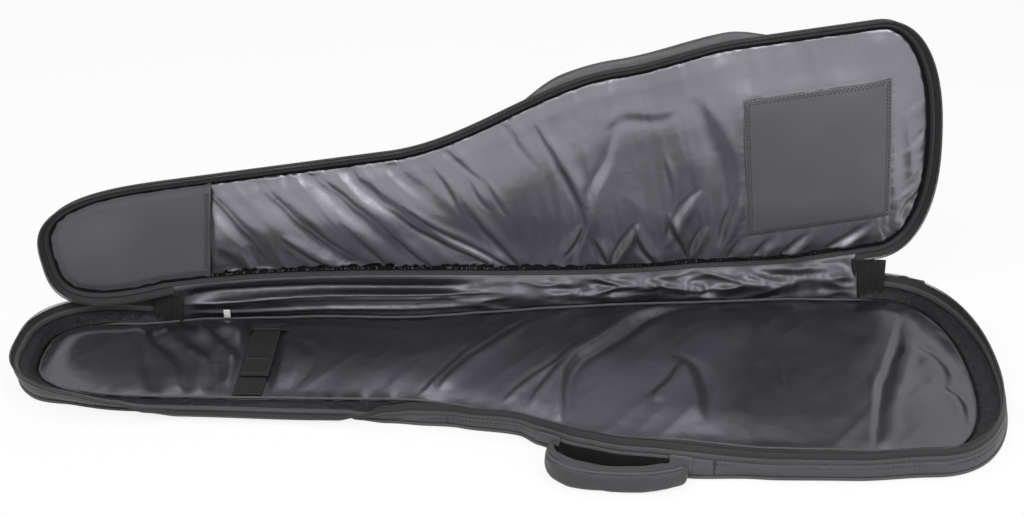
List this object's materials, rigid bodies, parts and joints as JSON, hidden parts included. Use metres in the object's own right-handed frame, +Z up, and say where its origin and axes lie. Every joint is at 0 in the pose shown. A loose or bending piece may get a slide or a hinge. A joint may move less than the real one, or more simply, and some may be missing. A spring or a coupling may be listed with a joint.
{
  "type": "bass guitar gig bag",
  "caption": "Soft padded gig bag for a bass guitar, lying on its back with its hinged lid stood open, with a lined tray, neck strap, side handle, outside zip pocket and shoulder straps.",
  "frame": {"origin": "on the underside of the flat back panel, on the bag's long axis, 610 mm from the head end of the lid's outline", "axes": "+X along the bag towards its wide end, +Y towards the lid's hinge side, +Z up, out of the back panel towards the lid"},
  "size_m": [1.291, 0.5238, 0.4303],
  "materials": {
    "outer_nylon": "black woven nylon",
    "foam": "grey foam padding",
    "satin_lining": "dark grey satin",
    "matt_lining": "dark grey matt cloth",
    "binding": "charcoal woven binding",
    "zip_tape": "black woven zip tape",
    "zip_coil": "black nylon coil",
    "webbing": "black webbing",
    "dark_metal": "dark plated metal",
    "black_plastic": "moulded black plastic",
    "blank_tag": "plain white tape"
  },
  "bodies": {
    "base": {"back_panel": "outer_nylon", "back_padding": "foam", "floor_lining": "satin_lining", "bottom_piping": "binding", "floor_seam_binding": "binding", "gusset_neck": "outer_nylon", "gusset_waist": "outer_nylon", "gusset_bout": "outer_nylon", "gusset_hinge": "outer_nylon", "padding_neck": "foam", "padding_waist": "foam", "padding_bout": "foam", "lining_neck": "satin_lining", "lining_waist": "satin_lining", "lining_bout": "satin_lining", "lining_hinge": "satin_lining", "base_rim_binding": "binding", "base_zip_tape": "zip_tape", "base_zip_coil": "zip_coil", "zip_tab_head": "zip_tape", "zip_tab_bout": "zip_tape", "zip_slider_head": "dark_metal", "zip_slider_bout": "dark_metal", "neck_strap_pad": "webbing", "neck_strap_anchor": "webbing", "seam_tag": "blank_tag", "handle_mount_left": "webbing", "handle_mount_right": "webbing", "shoulder_top_anchor": "outer_nylon", "shoulder_pad_left": "outer_nylon", "shoulder_pad_right": "outer_nylon", "strap_adjuster_left": "black_plastic", "strap_adjuster_right": "black_plastic", "shoulder_web_left": "webbing", "shoulder_web_right": "webbing", "shoulder_anchor_left": "outer_nylon", "shoulder_anchor_right": "outer_nylon"},
    "lid": {"lid_panel": "outer_nylon", "lid_padding": "foam", "lid_lining": "satin_lining", "lid_head_patch": "matt_lining", "lid_bridge_patch": "matt_lining", "lid_gusset": "outer_nylon", "lid_piping": "binding", "lid_rim_binding": "binding", "lid_zip_tape": "zip_tape", "lid_zip_coil": "zip_coil", "pocket_gusset": "outer_nylon", "pocket_panel": "outer_nylon", "pocket_edge_panel": "outer_nylon", "pocket_tape_lower": "zip_tape", "pocket_tape_upper": "zip_tape", "pocket_coil": "zip_coil"},
    "handle": {"handle_grip": "outer_nylon", "handle_piping": "binding"},
    "strap_tip": {"neck_strap_flap": "webbing"},
    "pocket_slider": {"pocket_slider": "dark_metal"},
    "pocket_pull": {"pocket_pull": "dark_metal"},
    "head_pull": {"zip_pull_head": "dark_metal"},
    "bout_pull": {"zip_pull_bout": "dark_metal"}
  },
  "joints": [
    {"name": "lid_fold", "type": "hinge", "parent": "base", "child": "lid", "pos_m": [-0.01, 0.1444, 0.04], "axis": [0.9925, 0.1219, 0], "range_deg": [-28, 86.1]},
    {"name": "handle_swing", "type": "hinge", "parent": "base", "child": "handle", "pos_m": [0.13787, -0.20268, 0.01558], "axis": [-0.9497, 0.3131, 0], "range_deg": [0, 40]},
    {"name": "strap_peel", "type": "hinge", "parent": "base", "child": "strap_tip", "pos_m": [-0.3225, -0.012, 0.0149], "axis": [-1, 0, 0], "range_deg": [0, 60]},
    {"name": "pocket_zip", "type": "slide", "parent": "lid", "child": "pocket_slider", "axis": [0.9674, 0.1029, 0.2312], "range_m": [0, 0.48]},
    {"name": "pocket_pull_swing", "type": "hinge", "parent": "pocket_slider", "child": "pocket_pull", "pos_m": [0.00036, 0.18952, 0.28666], "axis": [-0.222, -0.0939, 0.9705], "range_deg": [0, 110]},
    {"name": "head_pull_swing", "type": "hinge", "parent": "base", "child": "head_pull", "pos_m": [-0.50061, 0.11182, 0.03345], "axis": [-0.0068, -0.1866, -0.9824], "range_deg": [0, 110]},
    {"name": "bout_pull_swing", "type": "hinge", "parent": "base", "child": "bout_pull", "pos_m": [0.5603, 0.20916, 0.03289], "axis": [0.1499, 0.334, 0.9306], "range_deg": [0, 110]}
  ]
}
